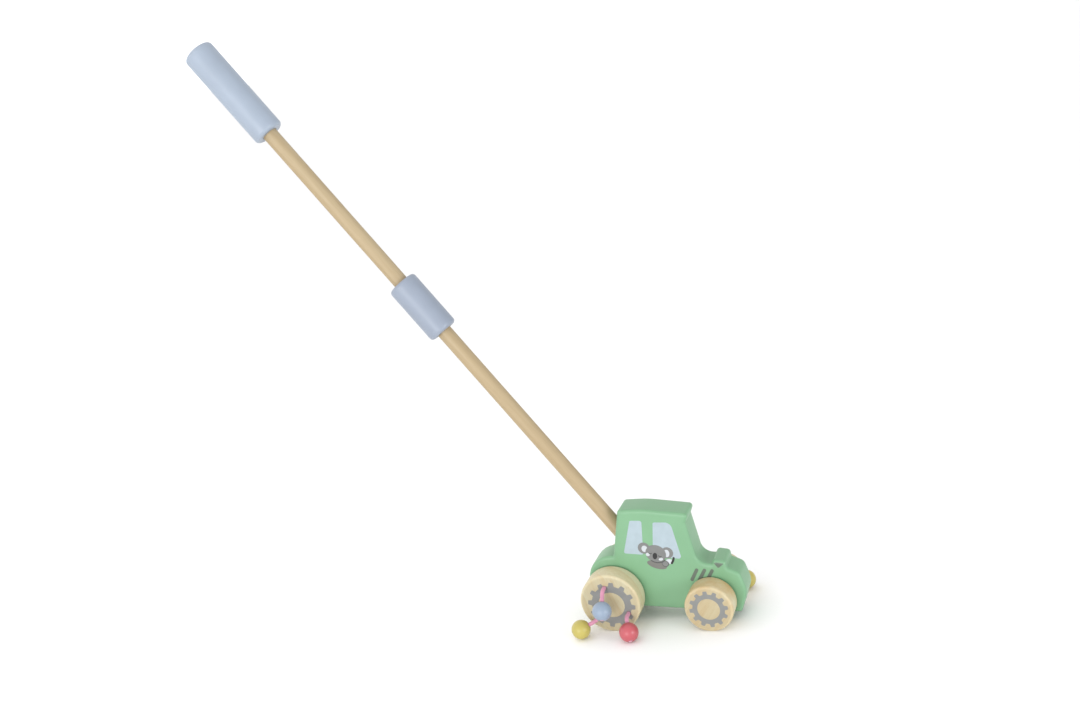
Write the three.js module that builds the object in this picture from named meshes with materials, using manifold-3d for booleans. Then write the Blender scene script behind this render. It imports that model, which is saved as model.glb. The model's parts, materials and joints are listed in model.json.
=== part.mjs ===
// Wooden push-along tractor: a block body on four wheels, a two-piece rod with a
// coupling sleeve and a grip, and two sets of clapper beads on short cords.
// Millimetres, +X forward, +Z up, origin on the floor below the middle of the toy.
import * as THREE from 'three';
import { mergeVertices } from 'three/addons/utils/BufferGeometryUtils.js';
import Module from 'manifold-3d';

const wasm = await Module();
wasm.setup();

// ---- driving dimensions -------------------------------------------------
const FIT_GAP = 0.3; // clearance between touching pieces

const BODY_THICKNESS = 24;
const BODY_EDGE_RADIUS = 2.6;

const REAR_WHEEL_RADIUS = 23.8;
const FRONT_WHEEL_RADIUS = 18.6;
const WHEEL_WIDTH = 18;
const WHEEL_EDGE_RADIUS = 2.2;
const WHEEL_SIDE_GAP = 1;
const WHEELBASE = 76.6; // measured along the line through both axles

const AXLE_RADIUS = 4;
const AXLE_SEAT_DEPTH = 11; // how far an axle reaches into a wheel

const ROD_RADIUS = 6;
const ROD_LEAN = THREE.MathUtils.degToRad(52.5); // above the axle line, leaning back
const ROD_FOOT = { x: 17.7, z: 30.2 }; // lower end of the rod, inside the body
const LOWER_ROD_LENGTH = 253;
const UPPER_ROD_LENGTH = 249;
const ROD_END_GAP = 1; // between the two rods, inside the sleeve

const SLEEVE_RADIUS = 12.1;
const SLEEVE_LENGTH = 50;
const GRIP_RADIUS = 12.4;
const GRIP_LENGTH = 84;
const GRIP_TOP_WALL = 12;
const SLEEVE_END_RADIUS = 3;

const CORD_RADIUS = 1.6;
const CORD_HOLE_RADIUS = CORD_RADIUS + FIT_GAP;
const CORD_HOLE_DEPTH = 9;
const BEAD_RADIUS = 7.4;

const ROUND_STEPS = 36;
const SMALL_ROUND_STEPS = 20;
const OUTLINE_ARC_STEP = THREE.MathUtils.degToRad(14);

// ---- colours --------------------------------------------------------------
const finish = (color, roughness) => new THREE.MeshStandardMaterial({ color, roughness, metalness: 0 });
const greenPaint = () => finish('#98c8a0', 0.45);
const bluePaint = () => finish('#bccbdd', 0.45);
const bareWood = () => finish('#d8c79e', 0.6);
const rodWood = () => finish('#d6bf98', 0.6);
const cordPink = () => finish('#d5a5b8', 0.9);
const beadPaint = {
  blue: () => finish('#b1beef', 0.4),
  red: () => finish('#e47a80', 0.4),
  yellow: () => finish('#e0d07c', 0.4),
};

// ---- helpers ----------------------------------------------------------------
const AXLE_DIRECTION = new THREE.Vector3(0, 1, 0);

// Merges shared vertices and drops the zero-area triangles that a lathe leaves on its axis.
function toSolid(geometry) {
  const bare = geometry.clone();
  bare.deleteAttribute('normal');
  bare.deleteAttribute('uv');
  const merged = mergeVertices(bare, 1e-4);
  const triangles = [];
  for (let i = 0; i < merged.index.count; i += 3) {
    const corners = [0, 1, 2].map((k) => merged.index.getX(i + k));
    if (new Set(corners).size === 3) triangles.push(...corners);
  }
  return new wasm.Manifold(new wasm.Mesh({
    numProp: 3,
    vertProperties: new Float32Array(merged.attributes.position.array),
    triVerts: new Uint32Array(triangles),
  }));
}

function toGeometry(solid) {
  const mesh = solid.getMesh();
  const geometry = new THREE.BufferGeometry();
  geometry.setAttribute('position', new THREE.BufferAttribute(mesh.vertProperties, 3));
  geometry.setIndex(new THREE.BufferAttribute(mesh.triVerts, 1));
  return geometry;
}

function cut(geometry, cutters) {
  const result = cutters.reduce((solid, cutter) => solid.subtract(toSolid(cutter)), toSolid(geometry));
  return toGeometry(result);
}

function addPiece(parent, name, geometry, material) {
  const mesh = new THREE.Mesh(geometry, material);
  mesh.name = name;
  parent.add(mesh);
  return mesh;
}

// A closed outline through corners {x, z, r}, each rounded with its own radius.
function roundedOutline(corners) {
  const points = corners.flatMap((corner, i) => {
    const here = new THREE.Vector2(corner.x, corner.z);
    const before = corners[(i + corners.length - 1) % corners.length];
    const after = corners[(i + 1) % corners.length];
    const toBefore = new THREE.Vector2(before.x, before.z).sub(here).normalize();
    const toAfter = new THREE.Vector2(after.x, after.z).sub(here).normalize();
    const halfAngle = Math.acos(toBefore.dot(toAfter)) / 2;
    const bisector = toBefore.clone().add(toAfter).normalize();
    const centre = here.clone().addScaledVector(bisector, corner.r / Math.sin(halfAngle));
    const start = here.clone().addScaledVector(toBefore, corner.r / Math.tan(halfAngle)).sub(centre);
    const turn = Math.PI - 2 * halfAngle;
    const sense = Math.sign(toAfter.cross(toBefore));
    const steps = Math.max(2, Math.ceil(turn / OUTLINE_ARC_STEP));
    return Array.from({ length: steps + 1 }, (_, k) => start.clone()
      .rotateAround(new THREE.Vector2(), (sense * turn * k) / steps)
      .add(centre));
  });
  return new THREE.Shape(points);
}

// Points of a quarter round from one direction to the next, for lathe profiles.
function quarterRound(centreX, centreY, radius, fromDegrees, toDegrees, steps = 3) {
  return Array.from({ length: steps + 1 }, (_, i) => {
    const angle = THREE.MathUtils.degToRad(fromDegrees + ((toDegrees - fromDegrees) * i) / steps);
    return new THREE.Vector2(centreX + radius * Math.cos(angle), centreY + radius * Math.sin(angle));
  });
}

// ---- body block ---------------------------------------------------------------
// Corners in the axle frame: x forward from the rear axle, z up from the axle line.
const BODY_OUTLINE = [
  { x: -21.1, z: -11.4, r: 6 },
  { x: 97.6, z: -11.4, r: 2.8 }, // chin
  { x: 103.0, z: 6.5, r: 16 }, // nose
  { x: 97.9, z: 21.5, r: 6 },
  { x: 88.6, z: 25.2, r: 1.4 }, // foot of the hood block, front
  { x: 87.6, z: 30.6, r: 2.7 },
  { x: 77.9, z: 31.6, r: 2.7 },
  { x: 77.3, z: 27.8, r: 0.8 }, // foot of the hood block, rear
  { x: 66.8, z: 27.9, r: 9.5 }, // cove between windscreen and hood
  { x: 59.4, z: 60.9, r: 1.6 }, // under the roof lip
  { x: 62.2, z: 68.4, r: 2.7 }, // roof lip
  { x: 26.0, z: 71.0, r: 90 }, // roof crown
  { x: 6.8, z: 69.4, r: 3 }, // rear edge of the roof
  { x: 0.4, z: 30.6, r: 1 }, // foot of the cab's rear wall
  { x: -21.1, z: 30.6, r: 20.3 }, // rear fender
];

const rodDirection = new THREE.Vector3(-Math.cos(ROD_LEAN), 0, Math.sin(ROD_LEAN));

function axleBore(x) {
  const bore = new THREE.CylinderGeometry(
    AXLE_RADIUS + FIT_GAP, AXLE_RADIUS + FIT_GAP, BODY_THICKNESS + 2, SMALL_ROUND_STEPS,
  );
  return bore.translate(x, 0, 0);
}

function rodBore() {
  const depth = 60;
  const bore = new THREE.CylinderGeometry(ROD_RADIUS + FIT_GAP, ROD_RADIUS + FIT_GAP, depth, ROUND_STEPS);
  bore.translate(0, depth / 2 - FIT_GAP, 0);
  bore.applyQuaternion(new THREE.Quaternion().setFromUnitVectors(AXLE_DIRECTION, rodDirection));
  return bore.translate(ROD_FOOT.x, 0, ROD_FOOT.z);
}

function bodyBlock() {
  const block = new THREE.ExtrudeGeometry(roundedOutline(BODY_OUTLINE), {
    depth: BODY_THICKNESS - 2 * BODY_EDGE_RADIUS,
    bevelThickness: BODY_EDGE_RADIUS,
    bevelSize: BODY_EDGE_RADIUS,
    bevelOffset: -BODY_EDGE_RADIUS,
    bevelSegments: 3,
  });
  block.translate(0, 0, BODY_EDGE_RADIUS - BODY_THICKNESS / 2);
  block.rotateX(Math.PI / 2);
  return cut(block, [axleBore(0), axleBore(WHEELBASE), rodBore()]);
}

// ---- wheels and axles -----------------------------------------------------------
// A wheel turned around Y with its outer face at +Y and its blind axle seat at y = 0.
function wheelBlank(radius) {
  const seatRadius = AXLE_RADIUS + FIT_GAP;
  const inset = radius - WHEEL_EDGE_RADIUS;
  const profile = [
    new THREE.Vector2(0, AXLE_SEAT_DEPTH + FIT_GAP),
    new THREE.Vector2(seatRadius, AXLE_SEAT_DEPTH + FIT_GAP),
    new THREE.Vector2(seatRadius, 0),
    ...quarterRound(inset, WHEEL_EDGE_RADIUS, WHEEL_EDGE_RADIUS, -90, 0),
    ...quarterRound(inset, WHEEL_WIDTH - WHEEL_EDGE_RADIUS, WHEEL_EDGE_RADIUS, 0, 90),
    new THREE.Vector2(0, WHEEL_WIDTH),
  ];
  return new THREE.LatheGeometry(profile, ROUND_STEPS);
}

function cordHole(x, z) {
  const overrun = 1;
  const hole = new THREE.CylinderGeometry(CORD_HOLE_RADIUS, CORD_HOLE_RADIUS, CORD_HOLE_DEPTH + overrun, 12);
  return hole.translate(x, WHEEL_WIDTH + overrun / 2 - CORD_HOLE_DEPTH / 2, z);
}

// side is -1 for the right-hand wheel and +1 for the left-hand one.
function wheel(radius, side, holes) {
  let blank = wheelBlank(radius);
  if (holes.length > 0) blank = cut(blank, holes.map(({ x, z }) => cordHole(x, z)));
  if (side < 0) {
    blank.scale(1, -1, 1);
    flipFaces(blank);
  }
  return blank.translate(0, side * (BODY_THICKNESS / 2 + WHEEL_SIDE_GAP), 0);
}

function flipFaces(geometry) {
  const index = geometry.index;
  for (let i = 0; i < index.count; i += 3) {
    const second = index.getX(i + 1);
    index.setX(i + 1, index.getX(i + 2));
    index.setX(i + 2, second);
  }
}

function axle() {
  const length = BODY_THICKNESS + 2 * (WHEEL_SIDE_GAP + AXLE_SEAT_DEPTH);
  return new THREE.CylinderGeometry(AXLE_RADIUS, AXLE_RADIUS, length, SMALL_ROUND_STEPS);
}

// ---- rod, sleeve and grip ----------------------------------------------------------
// All turned around Y, with y measured up the rod from its lower end.
function rodPiece(length, fromY) {
  return new THREE.CylinderGeometry(ROD_RADIUS, ROD_RADIUS, length, ROUND_STEPS)
    .translate(0, fromY + length / 2, 0);
}

function sleeve(fromY) {
  const bore = ROD_RADIUS + FIT_GAP;
  const inset = SLEEVE_RADIUS - SLEEVE_END_RADIUS;
  const profile = [
    new THREE.Vector2(bore, 0),
    ...quarterRound(inset, SLEEVE_END_RADIUS, SLEEVE_END_RADIUS, -90, 0),
    ...quarterRound(inset, SLEEVE_LENGTH - SLEEVE_END_RADIUS, SLEEVE_END_RADIUS, 0, 90),
    new THREE.Vector2(bore, SLEEVE_LENGTH),
    new THREE.Vector2(bore, 0),
  ];
  return new THREE.LatheGeometry(profile, ROUND_STEPS).translate(0, fromY, 0);
}

function grip(fromY) {
  const bore = ROD_RADIUS + FIT_GAP;
  const inset = GRIP_RADIUS - SLEEVE_END_RADIUS;
  const seatEnd = GRIP_LENGTH - GRIP_TOP_WALL;
  const profile = [
    new THREE.Vector2(0, seatEnd),
    new THREE.Vector2(bore, seatEnd),
    new THREE.Vector2(bore, 0),
    ...quarterRound(inset, SLEEVE_END_RADIUS, SLEEVE_END_RADIUS, -90, 0),
    ...quarterRound(inset, GRIP_LENGTH - SLEEVE_END_RADIUS, SLEEVE_END_RADIUS, 0, 90),
    new THREE.Vector2(0, GRIP_LENGTH),
  ];
  return new THREE.LatheGeometry(profile, ROUND_STEPS).translate(0, fromY, 0);
}

// ---- clapper beads -----------------------------------------------------------------
// A cord leaves its wheel straight, bends over and runs through its bead. The points
// are [distance out of the wheel face, distance across it], from the buried end on.
// The bead's centre lies on the third point from the end.
const HIGH_CORD = [
  [-8, 0], [-6, 0], [-4, 0], [-2, 0], [0, 0], [2.1, 0], [3.7, 0.2], [5.25, 0.75], [6.6, 1.7], [7.7, 2.9],
  [9.3, 5.2], [10.95, 7.55], [12.6, 9.9], [14.2, 12.2], [16.25, 15.1], [18.3, 18],
];
const NEAR_CORD = [
  [-8, 0], [-6, 0], [-4, 0], [-2, 0], [0, 0], [1.9, 0], [3.8, 0], [5.3, 0.15], [6.7, 0.65], [7.95, 1.4],
  [9, 2.4], [10.75, 4.5], [12.5, 6.55], [14.2, 8.6], [16.5, 11.3], [18.75, 14.05],
];
const LOW_CORD = [
  [-8, 0], [-6, 0], [-4, 0], [-2, 0], [0, 0], [1.7, 0.15], [3, 0.55], [4.2, 1.2], [5.25, 2.1], [6.1, 3.2],
  [6.7, 4.5], [7.55, 6.9], [8.45, 9.3], [9.3, 11.7], [10.2, 14.1], [11.4, 17.45], [12.6, 20.8],
];
const SIDE_CORD = [
  [-8, 0], [-6, 0], [-4, 0], [-2, 0], [0, 0], [1.65, 0.15], [3.05, 0.65], [4.3, 1.4], [5.4, 2.4], [6.2, 3.65],
  [6.75, 5.05], [7.4, 7.5], [8.05, 9.9], [8.7, 12.35], [9.6, 15.8], [10.55, 19.2],
];

// hole is the cord hole's place from the wheel's axis; swing is where the bead hangs,
// as a direction across the face, in degrees above +X.
const REAR_RIGHT_BEADS = {
  side: -1,
  suffix: 'rear_right',
  beads: [
    { colour: 'blue', hole: { x: -2.3, z: 13.6 }, swing: -89, cord: HIGH_CORD },
    { colour: 'red', hole: { x: 13.7, z: -8.1 }, swing: -72, cord: NEAR_CORD },
    { colour: 'yellow', hole: { x: -10.2, z: -10.8 }, swing: -157, cord: LOW_CORD },
  ],
};
const FRONT_LEFT_BEADS = {
  side: 1,
  suffix: 'front_left',
  beads: [
    { colour: 'yellow', hole: { x: 10.5, z: 0.2 }, swing: -66, cord: SIDE_CORD },
    { colour: 'blue', hole: { x: -5.4, z: 9 }, swing: -62, cord: HIGH_CORD },
    { colour: 'red', hole: { x: -5.1, z: -9.2 }, swing: -171, cord: HIGH_CORD },
  ],
};

function holePlaces(set) {
  return set.beads.map((bead) => bead.hole);
}

function cordPoints(set, bead) {
  const faceY = set.side * (BODY_THICKNESS / 2 + WHEEL_SIDE_GAP + WHEEL_WIDTH);
  const swing = THREE.MathUtils.degToRad(bead.swing);
  return bead.cord.map(([out, across]) => new THREE.Vector3(
    bead.hole.x + across * Math.cos(swing),
    faceY + set.side * out,
    bead.hole.z + across * Math.sin(swing),
  ));
}

function cordTube(points) {
  const section = new THREE.Shape();
  section.absarc(0, 0, CORD_RADIUS, 0, 2 * Math.PI, false);
  return new THREE.ExtrudeGeometry(section, {
    extrudePath: new THREE.CatmullRomCurve3(points),
    steps: 18,
    curveSegments: 4,
    bevelEnabled: false,
  });
}

function beadBall() {
  const boreAngle = THREE.MathUtils.radToDeg(Math.acos(CORD_HOLE_RADIUS / BEAD_RADIUS));
  const profile = quarterRound(0, 0, BEAD_RADIUS, -boreAngle, boreAngle, 11);
  profile.push(profile[0].clone());
  return new THREE.LatheGeometry(profile, SMALL_ROUND_STEPS);
}

function addBeads(parent, set) {
  set.beads.forEach((bead) => {
    const points = cordPoints(set, bead);
    const [before, centre, after] = points.slice(-4, -1);
    const direction = after.clone().sub(before).normalize();
    addPiece(parent, `cord_${bead.colour}_${set.suffix}`, cordTube(points), cordPink());
    const ball = addPiece(parent, `bead_${bead.colour}_${set.suffix}`, beadBall(), beadPaint[bead.colour]());
    ball.position.copy(centre);
    ball.quaternion.setFromUnitVectors(AXLE_DIRECTION, direction);
  });
}

// ---- assembly -----------------------------------------------------------------------
const noseDown = Math.asin((REAR_WHEEL_RADIUS - FRONT_WHEEL_RADIUS) / WHEELBASE);
const truck = new THREE.Group();

const chassis = new THREE.Group();
chassis.position.z = REAR_WHEEL_RADIUS;
chassis.rotation.y = noseDown;
truck.add(chassis);
addPiece(chassis, 'body_block', bodyBlock(), greenPaint());

const rod = new THREE.Group();
rod.position.set(ROD_FOOT.x, 0, ROD_FOOT.z);
rod.quaternion.setFromUnitVectors(AXLE_DIRECTION, rodDirection);
chassis.add(rod);
const jointY = LOWER_ROD_LENGTH + ROD_END_GAP / 2;
const upperRodFoot = LOWER_ROD_LENGTH + ROD_END_GAP;
const gripFoot = upperRodFoot + UPPER_ROD_LENGTH + FIT_GAP - (GRIP_LENGTH - GRIP_TOP_WALL);
addPiece(rod, 'rod_lower', rodPiece(LOWER_ROD_LENGTH, 0), rodWood());
addPiece(rod, 'rod_upper', rodPiece(UPPER_ROD_LENGTH, upperRodFoot), rodWood());
addPiece(rod, 'rod_coupling', sleeve(jointY - SLEEVE_LENGTH / 2), bluePaint());
addPiece(rod, 'handle_grip', grip(gripFoot), bluePaint());

const rearSet = new THREE.Group();
rearSet.position.z = REAR_WHEEL_RADIUS;
truck.add(rearSet);
addPiece(rearSet, 'rear_axle', axle(), bareWood());
addPiece(rearSet, 'rear_wheel_right', wheel(REAR_WHEEL_RADIUS, -1, holePlaces(REAR_RIGHT_BEADS)), bareWood());
addPiece(rearSet, 'rear_wheel_left', wheel(REAR_WHEEL_RADIUS, 1, []), bareWood());

const frontSet = new THREE.Group();
frontSet.position.set(WHEELBASE * Math.cos(noseDown), 0, FRONT_WHEEL_RADIUS);
truck.add(frontSet);
addPiece(frontSet, 'front_axle', axle(), bareWood());
addPiece(frontSet, 'front_wheel_right', wheel(FRONT_WHEEL_RADIUS, -1, []), bareWood());
addPiece(frontSet, 'front_wheel_left', wheel(FRONT_WHEEL_RADIUS, 1, holePlaces(FRONT_LEFT_BEADS)), bareWood());

// Centre the toy over the origin, measured on everything but the beads and cords.
truck.updateMatrixWorld(true);
truck.position.x = -new THREE.Box3().setFromObject(truck, true).getCenter(new THREE.Vector3()).x;

addBeads(rearSet, REAR_RIGHT_BEADS);
addBeads(frontSet, FRONT_LEFT_BEADS);

export default truck;
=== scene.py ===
"""Wooden push-along tractor: the visible pieces, their materials, the floor, the lights and the camera.

Metres throughout. Lengths written as `n * MM` are millimetres. Side views of the block are laid out in
the axle frame: x forward from the rear axle, z up from the line through both axles.
"""
import json
import math

import bmesh
import bpy
from mathutils import Euler, Matrix, Vector
from mathutils.bvhtree import BVHTree
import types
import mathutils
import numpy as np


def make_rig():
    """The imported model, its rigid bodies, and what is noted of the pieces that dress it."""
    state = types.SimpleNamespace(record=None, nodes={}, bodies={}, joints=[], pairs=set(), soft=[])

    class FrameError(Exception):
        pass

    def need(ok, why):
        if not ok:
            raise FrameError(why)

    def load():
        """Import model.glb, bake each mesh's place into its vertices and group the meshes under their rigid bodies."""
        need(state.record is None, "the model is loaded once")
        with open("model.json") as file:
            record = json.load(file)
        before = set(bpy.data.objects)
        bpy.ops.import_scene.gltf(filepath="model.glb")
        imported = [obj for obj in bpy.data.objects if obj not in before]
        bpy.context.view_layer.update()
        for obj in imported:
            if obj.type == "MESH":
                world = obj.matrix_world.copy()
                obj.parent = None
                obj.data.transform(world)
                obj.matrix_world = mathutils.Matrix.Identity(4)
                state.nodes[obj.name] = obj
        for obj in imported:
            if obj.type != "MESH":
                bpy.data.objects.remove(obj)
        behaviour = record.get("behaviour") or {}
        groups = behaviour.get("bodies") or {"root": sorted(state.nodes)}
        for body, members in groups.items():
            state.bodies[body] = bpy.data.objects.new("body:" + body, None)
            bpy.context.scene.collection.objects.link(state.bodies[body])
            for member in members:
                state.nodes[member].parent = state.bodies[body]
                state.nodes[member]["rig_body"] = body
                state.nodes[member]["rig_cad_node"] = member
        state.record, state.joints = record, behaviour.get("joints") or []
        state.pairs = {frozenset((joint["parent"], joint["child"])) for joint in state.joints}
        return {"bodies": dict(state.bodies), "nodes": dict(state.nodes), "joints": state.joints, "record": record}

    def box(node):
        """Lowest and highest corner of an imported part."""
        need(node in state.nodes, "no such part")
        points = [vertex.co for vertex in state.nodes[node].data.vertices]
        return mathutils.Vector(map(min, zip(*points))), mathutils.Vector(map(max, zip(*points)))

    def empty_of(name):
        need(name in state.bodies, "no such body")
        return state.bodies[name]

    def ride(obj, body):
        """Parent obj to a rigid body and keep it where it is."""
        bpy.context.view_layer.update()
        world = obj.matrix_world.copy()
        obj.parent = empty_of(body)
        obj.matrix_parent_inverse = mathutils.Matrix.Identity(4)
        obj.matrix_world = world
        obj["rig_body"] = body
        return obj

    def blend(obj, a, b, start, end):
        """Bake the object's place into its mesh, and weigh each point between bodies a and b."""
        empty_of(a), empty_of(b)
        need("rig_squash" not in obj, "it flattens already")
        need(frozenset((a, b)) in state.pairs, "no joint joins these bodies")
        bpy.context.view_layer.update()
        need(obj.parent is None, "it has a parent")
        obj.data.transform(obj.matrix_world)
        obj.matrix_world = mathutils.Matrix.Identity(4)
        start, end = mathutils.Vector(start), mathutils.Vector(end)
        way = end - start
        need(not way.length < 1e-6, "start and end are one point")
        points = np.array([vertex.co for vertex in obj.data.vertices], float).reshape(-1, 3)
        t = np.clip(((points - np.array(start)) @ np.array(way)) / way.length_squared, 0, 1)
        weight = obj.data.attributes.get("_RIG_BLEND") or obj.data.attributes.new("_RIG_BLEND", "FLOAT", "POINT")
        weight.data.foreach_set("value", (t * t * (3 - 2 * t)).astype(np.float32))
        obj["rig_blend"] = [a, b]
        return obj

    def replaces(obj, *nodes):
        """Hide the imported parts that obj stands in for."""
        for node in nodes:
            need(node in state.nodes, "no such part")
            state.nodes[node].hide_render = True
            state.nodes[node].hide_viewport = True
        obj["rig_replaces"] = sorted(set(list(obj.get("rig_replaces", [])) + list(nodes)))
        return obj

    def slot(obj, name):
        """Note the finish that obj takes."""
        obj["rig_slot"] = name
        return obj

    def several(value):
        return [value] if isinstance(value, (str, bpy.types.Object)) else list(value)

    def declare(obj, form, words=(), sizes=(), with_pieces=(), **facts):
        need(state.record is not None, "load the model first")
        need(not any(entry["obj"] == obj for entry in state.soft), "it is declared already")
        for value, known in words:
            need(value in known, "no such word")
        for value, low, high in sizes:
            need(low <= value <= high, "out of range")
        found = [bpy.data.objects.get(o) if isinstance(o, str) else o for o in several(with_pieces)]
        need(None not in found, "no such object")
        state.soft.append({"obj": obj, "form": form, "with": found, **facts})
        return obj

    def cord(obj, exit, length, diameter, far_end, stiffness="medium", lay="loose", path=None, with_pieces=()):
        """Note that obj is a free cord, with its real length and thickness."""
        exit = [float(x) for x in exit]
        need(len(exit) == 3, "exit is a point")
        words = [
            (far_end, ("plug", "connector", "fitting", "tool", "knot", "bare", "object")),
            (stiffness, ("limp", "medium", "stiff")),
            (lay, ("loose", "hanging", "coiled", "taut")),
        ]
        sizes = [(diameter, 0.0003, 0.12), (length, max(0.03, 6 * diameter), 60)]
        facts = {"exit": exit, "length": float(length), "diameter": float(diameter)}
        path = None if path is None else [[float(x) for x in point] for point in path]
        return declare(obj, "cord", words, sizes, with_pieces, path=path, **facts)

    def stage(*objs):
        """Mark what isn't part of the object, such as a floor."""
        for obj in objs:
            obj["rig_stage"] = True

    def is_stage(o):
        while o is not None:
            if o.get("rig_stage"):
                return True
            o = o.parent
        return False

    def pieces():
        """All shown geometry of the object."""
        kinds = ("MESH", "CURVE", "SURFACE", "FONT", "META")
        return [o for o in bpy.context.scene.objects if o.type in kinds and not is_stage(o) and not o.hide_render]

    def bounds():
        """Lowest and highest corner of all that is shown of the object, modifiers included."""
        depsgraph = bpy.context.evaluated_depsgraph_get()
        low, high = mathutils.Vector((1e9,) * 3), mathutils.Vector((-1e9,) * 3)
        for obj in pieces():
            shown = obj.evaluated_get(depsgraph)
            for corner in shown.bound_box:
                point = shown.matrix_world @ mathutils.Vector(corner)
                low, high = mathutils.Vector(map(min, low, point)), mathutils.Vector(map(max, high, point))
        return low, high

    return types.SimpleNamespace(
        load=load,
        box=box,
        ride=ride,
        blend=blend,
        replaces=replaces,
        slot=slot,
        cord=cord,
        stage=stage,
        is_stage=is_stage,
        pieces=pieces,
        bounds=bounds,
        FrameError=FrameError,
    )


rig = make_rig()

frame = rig.load()
cad_box = [list(corner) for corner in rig.bounds()]

MM = 0.001
RIGHT, LEFT = -1, 1  # the sides of the toy, as signs of Y

# ---- places taken from the frame -----------------------------------------------------
JOINTS = {joint["name"]: joint for joint in frame["joints"]}
REAR_AXLE = Vector(JOINTS["rear_axle_spin"]["pos_m"])
FRONT_AXLE = Vector(JOINTS["front_axle_spin"]["pos_m"])
NOSE_DOWN = math.atan2(REAR_AXLE.z - FRONT_AXLE.z, FRONT_AXLE.x - REAR_AXLE.x)
WHEELBASE = (FRONT_AXLE - REAR_AXLE).length

HALF_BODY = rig.box("body_block")[1][1]
BODY_EDGE_RADIUS = 2.6 * MM
WHEEL_INNER_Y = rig.box("rear_wheel_left")[0][1]
WHEEL_FACE_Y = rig.box("rear_wheel_left")[1][1]
REAR_RADIUS = REAR_AXLE.z
FRONT_RADIUS = FRONT_AXLE.z
AXLE_RADIUS = 4 * MM
ROD_RADIUS = 6 * MM
ROD_LEAN = math.radians(52.5)
ROD_FOOT = (17.7 * MM, 30.2 * MM)
SEAT_GAP = 0.15 * MM

CORD_RADIUS = 1.6 * MM
CORD_HOLE_RADIUS = 1.9 * MM
CORD_HOLE_DEPTH = 9 * MM
BEAD_RADIUS = 7.4 * MM

AXLE_FRAME = Matrix.Translation(REAR_AXLE) @ Matrix.Rotation(NOSE_DOWN, 4, "Y")
UP_THE_ROD = Vector((-math.cos(ROD_LEAN), 0, math.sin(ROD_LEAN)))
ROD_TURN = Vector((0, 1, 0)).rotation_difference(UP_THE_ROD).to_matrix().to_4x4()
ROD_IN_AXLE_FRAME = Matrix.Translation((ROD_FOOT[0], 0, ROD_FOOT[1])) @ ROD_TURN


# ---- mesh helpers ------------------------------------------------------------------------
def new_object(name, verts, faces, smooth_angle=40):
    mesh = bpy.data.meshes.new(name)
    mesh.from_pydata([tuple(v) for v in verts], [], faces)
    mesh.update()
    obj = bpy.data.objects.new(name, mesh)
    bpy.context.collection.objects.link(obj)
    shade(obj, smooth_angle)
    return obj


def shade(obj, smooth_angle=40):
    obj.data.shade_smooth()
    obj.data.set_sharp_from_angle(angle=math.radians(smooth_angle))


def settle(obj, matrix):
    """Moves a piece's points to where the piece belongs, and keeps its own coordinates for its material."""
    grain = obj.data.attributes.new("grain", "FLOAT_VECTOR", "POINT")
    for point, value in zip(obj.data.vertices, grain.data):
        value.vector = point.co
    obj.data.transform(matrix)
    obj.data.update()
    return obj


def outward(obj):
    """Turns every face outwards."""
    bm = bmesh.new()
    bm.from_mesh(obj.data)
    bmesh.ops.recalc_face_normals(bm, faces=bm.faces)
    bm.to_mesh(obj.data)
    bm.free()
    return obj


def rounded_loop(corners, inset=0.0, steps=8):
    """Points along an anticlockwise outline of (x, z, radius) corners, moved inwards by inset.

    Every corner gives steps + 1 points, so loops with different insets match point for point."""
    count = len(corners)
    lines = []
    for i, (x, z, _) in enumerate(corners):
        a, b = Vector((x, z)), Vector(corners[(i + 1) % count][:2])
        along = (b - a).normalized()
        lines.append((a + Vector((-along.y, along.x)) * inset, along))
    points = []
    for i, (_, _, radius) in enumerate(corners):
        (p, d), (q, e) = lines[i - 1], lines[i]
        cross = d.x * e.y - d.y * e.x
        corner = p + d * (((q - p).x * e.y - (q - p).y * e.x) / cross)
        turn = math.asin(max(-1, min(1, cross)))
        if d.dot(e) < 0:
            turn = math.copysign(math.pi - abs(turn), turn)
        bend = max(radius - math.copysign(inset, turn), 0.05 * MM)
        reach = bend * math.tan(abs(turn) / 2)
        start = corner - d * reach
        side = math.copysign(1, turn)
        centre = start + Vector((-d.y, d.x)) * side * bend
        spoke = start - centre
        for k in range(steps + 1):
            angle = turn * k / steps
            c, s = math.cos(angle), math.sin(angle)
            points.append(centre + Vector((spoke.x * c - spoke.y * s, spoke.x * s + spoke.y * c)))
    return points


def lathe(name, profile, segments=96, smooth_angle=35):
    """Turns (radius, y) points round the Y axis. The profile starts and ends on the axis, or closes."""
    closed = profile[0] == profile[-1]
    rings = profile[:-1] if closed else profile
    verts, faces, ring_ids = [], [], []
    for radius, y in rings:
        if radius < 1e-9:
            ring_ids.append([len(verts)] * segments)
            verts.append((0, y, 0))
            continue
        ring_ids.append(list(range(len(verts), len(verts) + segments)))
        for k in range(segments):
            angle = 2 * math.pi * k / segments
            verts.append((radius * math.sin(angle), y, radius * math.cos(angle)))
    pairs = list(zip(ring_ids, ring_ids[1:]))
    if closed:
        pairs.append((ring_ids[-1], ring_ids[0]))
    for low, high in pairs:
        for k in range(segments):
            n = (k + 1) % segments
            corner_ids = [low[k], low[n], high[n], high[k]]
            face = [v for j, v in enumerate(corner_ids) if v != corner_ids[j - 1]]
            if len(set(face)) >= 3:
                faces.append(face)
    return outward(new_object(name, verts, faces, smooth_angle))


def round_corner(centre_r, centre_y, radius, from_deg, to_deg, steps=8):
    """Points of an arc for a lathe profile."""
    out = []
    for k in range(steps + 1):
        angle = math.radians(from_deg + (to_deg - from_deg) * k / steps)
        out.append((centre_r + radius * math.cos(angle), centre_y + radius * math.sin(angle)))
    return out


def cylinder_cutter(radius, length, matrix, segments=48):
    half = length / 2
    cutter = lathe("cutter", [(0, -half), (radius, -half), (radius, half), (0, half)], segments)
    cutter.matrix_world = matrix
    return cutter


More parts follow.
